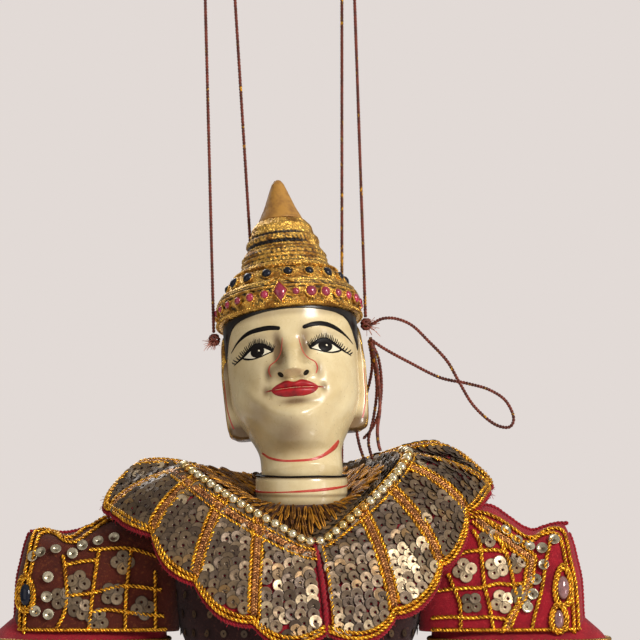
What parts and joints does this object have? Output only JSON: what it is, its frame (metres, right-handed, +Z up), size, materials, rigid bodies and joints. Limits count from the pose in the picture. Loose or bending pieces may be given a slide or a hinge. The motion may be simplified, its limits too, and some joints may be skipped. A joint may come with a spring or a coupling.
{
  "type": "string marionette",
  "caption": "Hanging string puppet: carved head with a tiered gilt crown, sequinned collar and winged sleeves on a jointed wooden body, with a control bar.",
  "frame": {"origin": "centre of the flat top face of the control handle, from which the whole puppet hangs", "axes": "+Z up, the face looks towards -Y, +X to the right of someone who looks at the face"},
  "size_m": [0.2654, 0.1254, 0.626],
  "materials": {
    "face_paint": "glossy lacquer paint on carved wood",
    "hair_paint": "black lacquer",
    "gilt": "gold leaf over carved lacquer, set with small glass stones",
    "ochre": "worn gold paint",
    "sequin_cloth": "stiff cloth covered with sequins",
    "gold_thread": "looped gold thread",
    "red_cloth": "maroon cotton with gold cord",
    "dark_cloth": "dark cotton",
    "string": "twisted thread",
    "brass": "plain brass ring",
    "wood": "oiled wood"
  },
  "bodies": {
    "control": {"control_bar": "wood", "control_handle": "wood", "tie_head_left": "string", "tie_back_left": "string", "tie_back_right": "string", "tie_head_right": "string"},
    "trunk": {"neck_socket": "face_paint", "chest_block": "wood", "shoulder_peg_left": "wood", "shoulder_peg_right": "wood", "pelvis_block": "wood", "jacket_body": "dark_cloth", "belt": "gilt", "sash_knot": "red_cloth", "tail_panel": "red_cloth", "hip_wing_left": "sequin_cloth", "hip_wing_right": "sequin_cloth", "neck_yoke": "gold_thread", "collar": "sequin_cloth", "string_head_left": "string", "string_head_right": "string", "string_back_left": "string", "string_back_right": "string", "back_eye_left": "brass", "back_eye_right": "brass"},
    "head_unit": {"head": "face_paint", "hair_cap": "hair_paint", "ear_left": "face_paint", "ear_right": "face_paint", "crown_band": "gilt", "crown_tiers": "gilt", "crown_spire": "ochre", "temple_knot_left": "string", "temple_knot_right": "string", "loose_loop": "string", "strand_long": "string", "strand_short": "string"},
    "arm_left": {"upper_arm_left": "wood", "shoulder_wing_left": "sequin_cloth", "sleeve_left": "red_cloth"},
    "lower_arm_left": {"forearm_left": "wood", "cuff_left": "gilt", "hand_left": "face_paint"},
    "leg_left": {"thigh_left": "wood", "trouser_upper_left": "red_cloth"},
    "lower_leg_left": {"shin_left": "wood", "trouser_lower_left": "red_cloth", "foot_left": "face_paint"},
    "arm_right": {"upper_arm_right": "wood", "shoulder_wing_right": "sequin_cloth", "sleeve_right": "red_cloth"},
    "lower_arm_right": {"forearm_right": "wood", "cuff_right": "gilt", "hand_right": "face_paint"},
    "leg_right": {"thigh_right": "wood", "trouser_upper_right": "red_cloth"},
    "lower_leg_right": {"shin_right": "wood", "trouser_lower_right": "red_cloth", "foot_right": "face_paint"}
  },
  "joints": [
    {"name": "sway", "type": "hinge", "parent": "control", "child": "trunk", "pos_m": [0, 0, -0.076], "axis": [1, 0, 0], "range_deg": [-20, 20]},
    {"name": "head_nod", "type": "hinge", "parent": "trunk", "child": "head_unit", "pos_m": [0.0096, -0.014, -0.285], "axis": [1, 0, 0], "range_deg": [-2, 28]},
    {"name": "shoulder_left", "type": "hinge", "parent": "trunk", "child": "arm_left", "pos_m": [-0.0604, -0.014, -0.33], "axis": [1, 0, 0], "range_deg": [-70, 25], "deforming": ["shoulder_wing_left", "sleeve_left"]},
    {"name": "elbow_left", "type": "hinge", "parent": "arm_left", "child": "lower_arm_left", "pos_m": [-0.0604, -0.014, -0.41], "axis": [1, 0, 0], "range_deg": [-95, 5]},
    {"name": "hip_left", "type": "hinge", "parent": "trunk", "child": "leg_left", "pos_m": [-0.0104, -0.014, -0.448], "axis": [1, 0, 0], "range_deg": [-60, 5]},
    {"name": "knee_left", "type": "hinge", "parent": "leg_left", "child": "lower_leg_left", "pos_m": [-0.0104, -0.014, -0.534], "axis": [1, 0, 0], "range_deg": [0, 70]},
    {"name": "shoulder_right", "type": "hinge", "parent": "trunk", "child": "arm_right", "pos_m": [0.0776, -0.014, -0.33], "axis": [1, 0, 0], "range_deg": [-70, 25], "deforming": ["shoulder_wing_right", "sleeve_right"]},
    {"name": "elbow_right", "type": "hinge", "parent": "arm_right", "child": "lower_arm_right", "pos_m": [0.0776, -0.014, -0.41], "axis": [1, 0, 0], "range_deg": [-95, 5]},
    {"name": "hip_right", "type": "hinge", "parent": "trunk", "child": "leg_right", "pos_m": [0.0276, -0.014, -0.448], "axis": [1, 0, 0], "range_deg": [-60, 5]},
    {"name": "knee_right", "type": "hinge", "parent": "leg_right", "child": "lower_leg_right", "pos_m": [0.0276, -0.014, -0.534], "axis": [1, 0, 0], "range_deg": [0, 70]}
  ]
}
